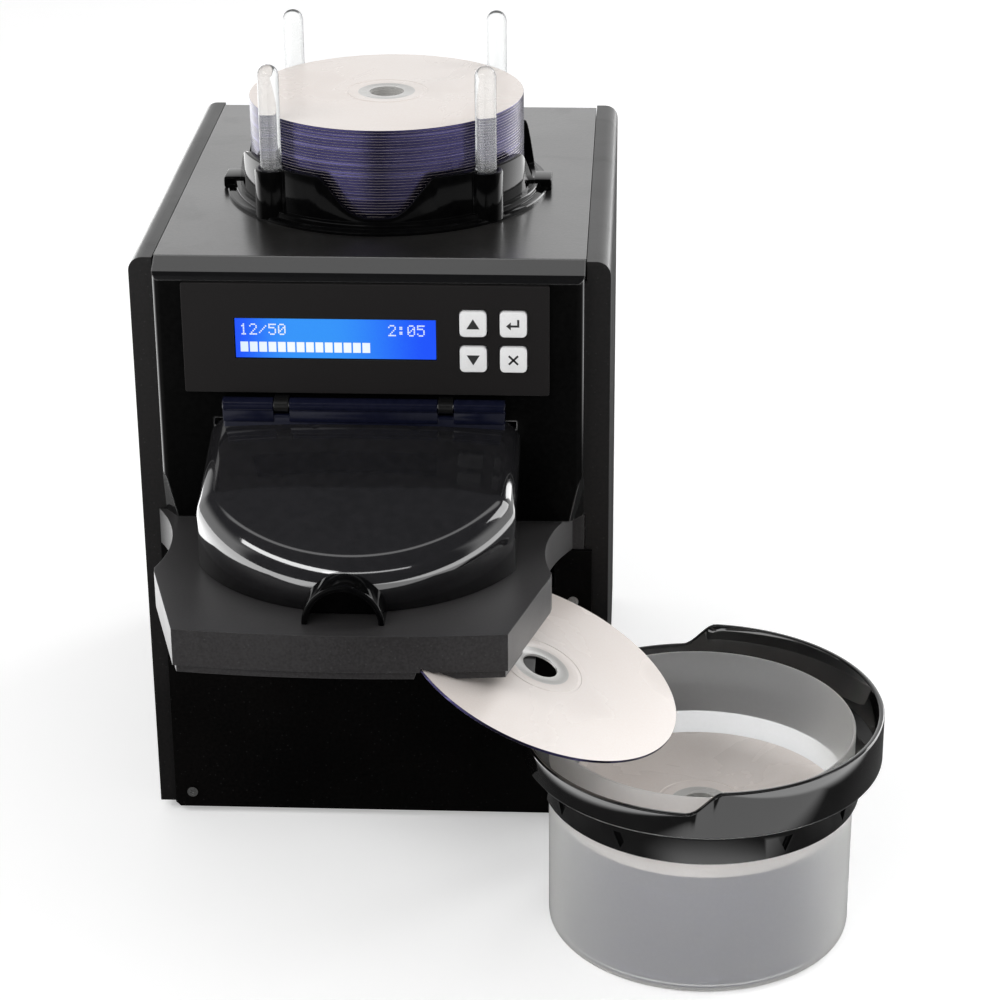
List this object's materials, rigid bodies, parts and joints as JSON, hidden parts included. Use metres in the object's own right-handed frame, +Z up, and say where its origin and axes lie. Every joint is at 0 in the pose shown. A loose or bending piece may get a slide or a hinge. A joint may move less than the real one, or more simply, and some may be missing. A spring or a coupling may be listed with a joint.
{
  "type": "automated disc duplicator",
  "caption": "Desktop disc duplicator: a hopper of blank discs feeds a drive behind a hinged cover, and finished discs slide out under a shelf into a free-standing bin",
  "frame": {"origin": "on the table, under the middle of the bounding box of machine and bin", "axes": "+X to the machine's right seen from the front, +Y to its back, +Z up"},
  "size_m": [0.314, 0.375, 0.33],
  "materials": {
    "case_paint": "fine textured black powder coat",
    "top_paint": "fine textured dark grey powder coat",
    "fascia_plastic": "satin black moulding",
    "gloss_black": "polished black moulding",
    "overlay_film": "printed dark grey film",
    "display": "backlit blue character display",
    "key_plastic": "light grey moulded keys",
    "disc_polycarbonate": "printable pearl-white disc",
    "clear_rod": "clear extruded acrylic",
    "frosted_tub": "frosted clear moulding",
    "zinc_steel": "plated sheet steel",
    "bright_steel": "ground and plated steel",
    "circuit_board": "green solder mask with black parts",
    "gear_plastic": "natural acetal",
    "grey_plastic": "grey moulding",
    "silicone": "moulded silicone",
    "black_rubber": "moulded rubber",
    "brass": "turned brass"
  },
  "bodies": {
    "machine": {"base_pan": "zinc_steel", "rubber_feet": "black_rubber", "left_side_panel": "case_paint", "right_side_panel": "case_paint", "top_plate": "top_paint", "rear_panel": "case_paint", "rear_screws": "bright_steel", "lower_front_panel": "case_paint", "front_screws": "bright_steel", "front_fascia": "fascia_plastic", "display_overlay": "overlay_film", "lcd_module": "display", "control_board": "circuit_board", "key_mat": "silicone", "disc_ledge": "fascia_plastic", "hinge_brackets": "fascia_plastic", "hinge_pin": "bright_steel", "hopper_collar": "gloss_black", "guide_rods": "clear_rod", "dispenser_frame": "zinc_steel", "dispenser_motor": "zinc_steel", "feed_ramp": "grey_plastic", "drive_rails": "zinc_steel", "drive_housing": "zinc_steel", "spindle_motor": "zinc_steel", "sled_rods": "bright_steel", "exit_chute": "fascia_plastic", "lift_actuator": "fascia_plastic", "main_board": "circuit_board", "board_posts": "brass", "power_supply": "zinc_steel", "fan_frame": "fascia_plastic", "power_inlet": "fascia_plastic", "switch_frame": "fascia_plastic"},
    "cover": {"cover_lid": "gloss_black"},
    "key_up": {"up_key": "key_plastic"},
    "key_down": {"down_key": "key_plastic"},
    "key_enter": {"enter_key": "key_plastic"},
    "key_escape": {"escape_key": "key_plastic"},
    "separator": {"separator_ring": "gear_plastic"},
    "separator_drive": {"motor_pinion": "gear_plastic"},
    "tray": {"drive_tray": "fascia_plastic"},
    "tray_gear": {"tray_pinion": "gear_plastic"},
    "spindle": {"spindle_hub": "grey_plastic"},
    "sled": {"pickup_sled": "grey_plastic"},
    "lift": {"lift_spindle": "bright_steel"},
    "leaving_disc": {"finished_disc": "disc_polycarbonate"},
    "fan": {"fan_rotor": "fascia_plastic"},
    "rocker": {"power_switch": "fascia_plastic"},
    "bin": {"bin_tub": "frosted_tub", "bin_collar": "gloss_black"},
    "bin_stack": {"done_discs": "disc_polycarbonate"},
    "hopper_stack": {"blank_discs": "disc_polycarbonate"}
  },
  "joints": [
    {"name": "cover_hinge", "type": "hinge", "parent": "machine", "child": "cover", "pos_m": [-0.0593, -0.0505, 0.203], "axis": [-1, 0, 0], "range_deg": [0, 100]},
    {"name": "up_press", "type": "slide", "parent": "machine", "child": "key_up", "axis": [0, 1, 0], "range_m": [0, 0.001], "stiffness_N_per_m": 400},
    {"name": "down_press", "type": "slide", "parent": "machine", "child": "key_down", "axis": [0, 1, 0], "range_m": [0, 0.001], "stiffness_N_per_m": 400},
    {"name": "enter_press", "type": "slide", "parent": "machine", "child": "key_enter", "axis": [0, 1, 0], "range_m": [0, 0.001], "stiffness_N_per_m": 400},
    {"name": "escape_press", "type": "slide", "parent": "machine", "child": "key_escape", "axis": [0, 1, 0], "range_m": [0, 0.001], "stiffness_N_per_m": 400},
    {"name": "separator_turn", "type": "hinge", "parent": "machine", "child": "separator", "pos_m": [-0.057, 0.0615, 0.243], "axis": [0, 0, 1], "continuous": true},
    {"name": "separator_drive_turn", "type": "hinge", "parent": "machine", "child": "separator_drive", "pos_m": [-0.057, 0.147, 0.243], "axis": [0, 0, 1], "continuous": true},
    {"name": "tray_slide", "type": "slide", "parent": "machine", "child": "tray", "axis": [0, -1, 0], "range_m": [0, 0.13]},
    {"name": "tray_gear_turn", "type": "hinge", "parent": "machine", "child": "tray_gear", "pos_m": [-0.0853, 0.0215, 0.1485], "axis": [0, 0, 1], "range_deg": [0, 830]},
    {"name": "spindle_turn", "type": "hinge", "parent": "machine", "child": "spindle", "pos_m": [-0.0593, 0.0615, 0.1465], "axis": [0, 0, 1], "continuous": true},
    {"name": "sled_run", "type": "slide", "parent": "machine", "child": "sled", "axis": [0, 1, 0], "range_m": [0, 0.03]},
    {"name": "lift_rise", "type": "slide", "parent": "machine", "child": "lift", "axis": [0, 0, 1], "range_m": [0, 0.029]},
    {"name": "disc_run_out", "type": "slide", "parent": "machine", "child": "leaving_disc", "axis": [0.9428, 0.071, -0.3256], "range_m": [0, 0.07]},
    {"name": "fan_turn", "type": "hinge", "parent": "machine", "child": "fan", "pos_m": [-0.012, 0.1755, 0.2043], "axis": [0, 1, 0], "continuous": true},
    {"name": "rocker_tilt", "type": "hinge", "parent": "machine", "child": "rocker", "pos_m": [-0.079, 0.1805, 0.029], "axis": [1, 0, 0], "range_deg": [0, 16]},
    {"name": "bin_pull", "type": "slide", "parent": "machine", "child": "bin", "axis": [-1, 0, 0], "range_m": [-0.1, 0]},
    {"name": "bin_stack_lift", "type": "slide", "parent": "bin", "child": "bin_stack", "axis": [0, 0, -1], "range_m": [-0.036, 0]},
    {"name": "hopper_stack_lift", "type": "slide", "parent": "machine", "child": "hopper_stack", "axis": [0, 0, 1], "range_m": [0, 0.085]}
  ],
  "couplings": [
    {"joint": "separator_drive_turn", "follows": "separator_turn", "ratio": -7.1429},
    {"joint": "tray_gear_turn", "follows": "tray_slide", "rad_per_m": 111.11}
  ]
}
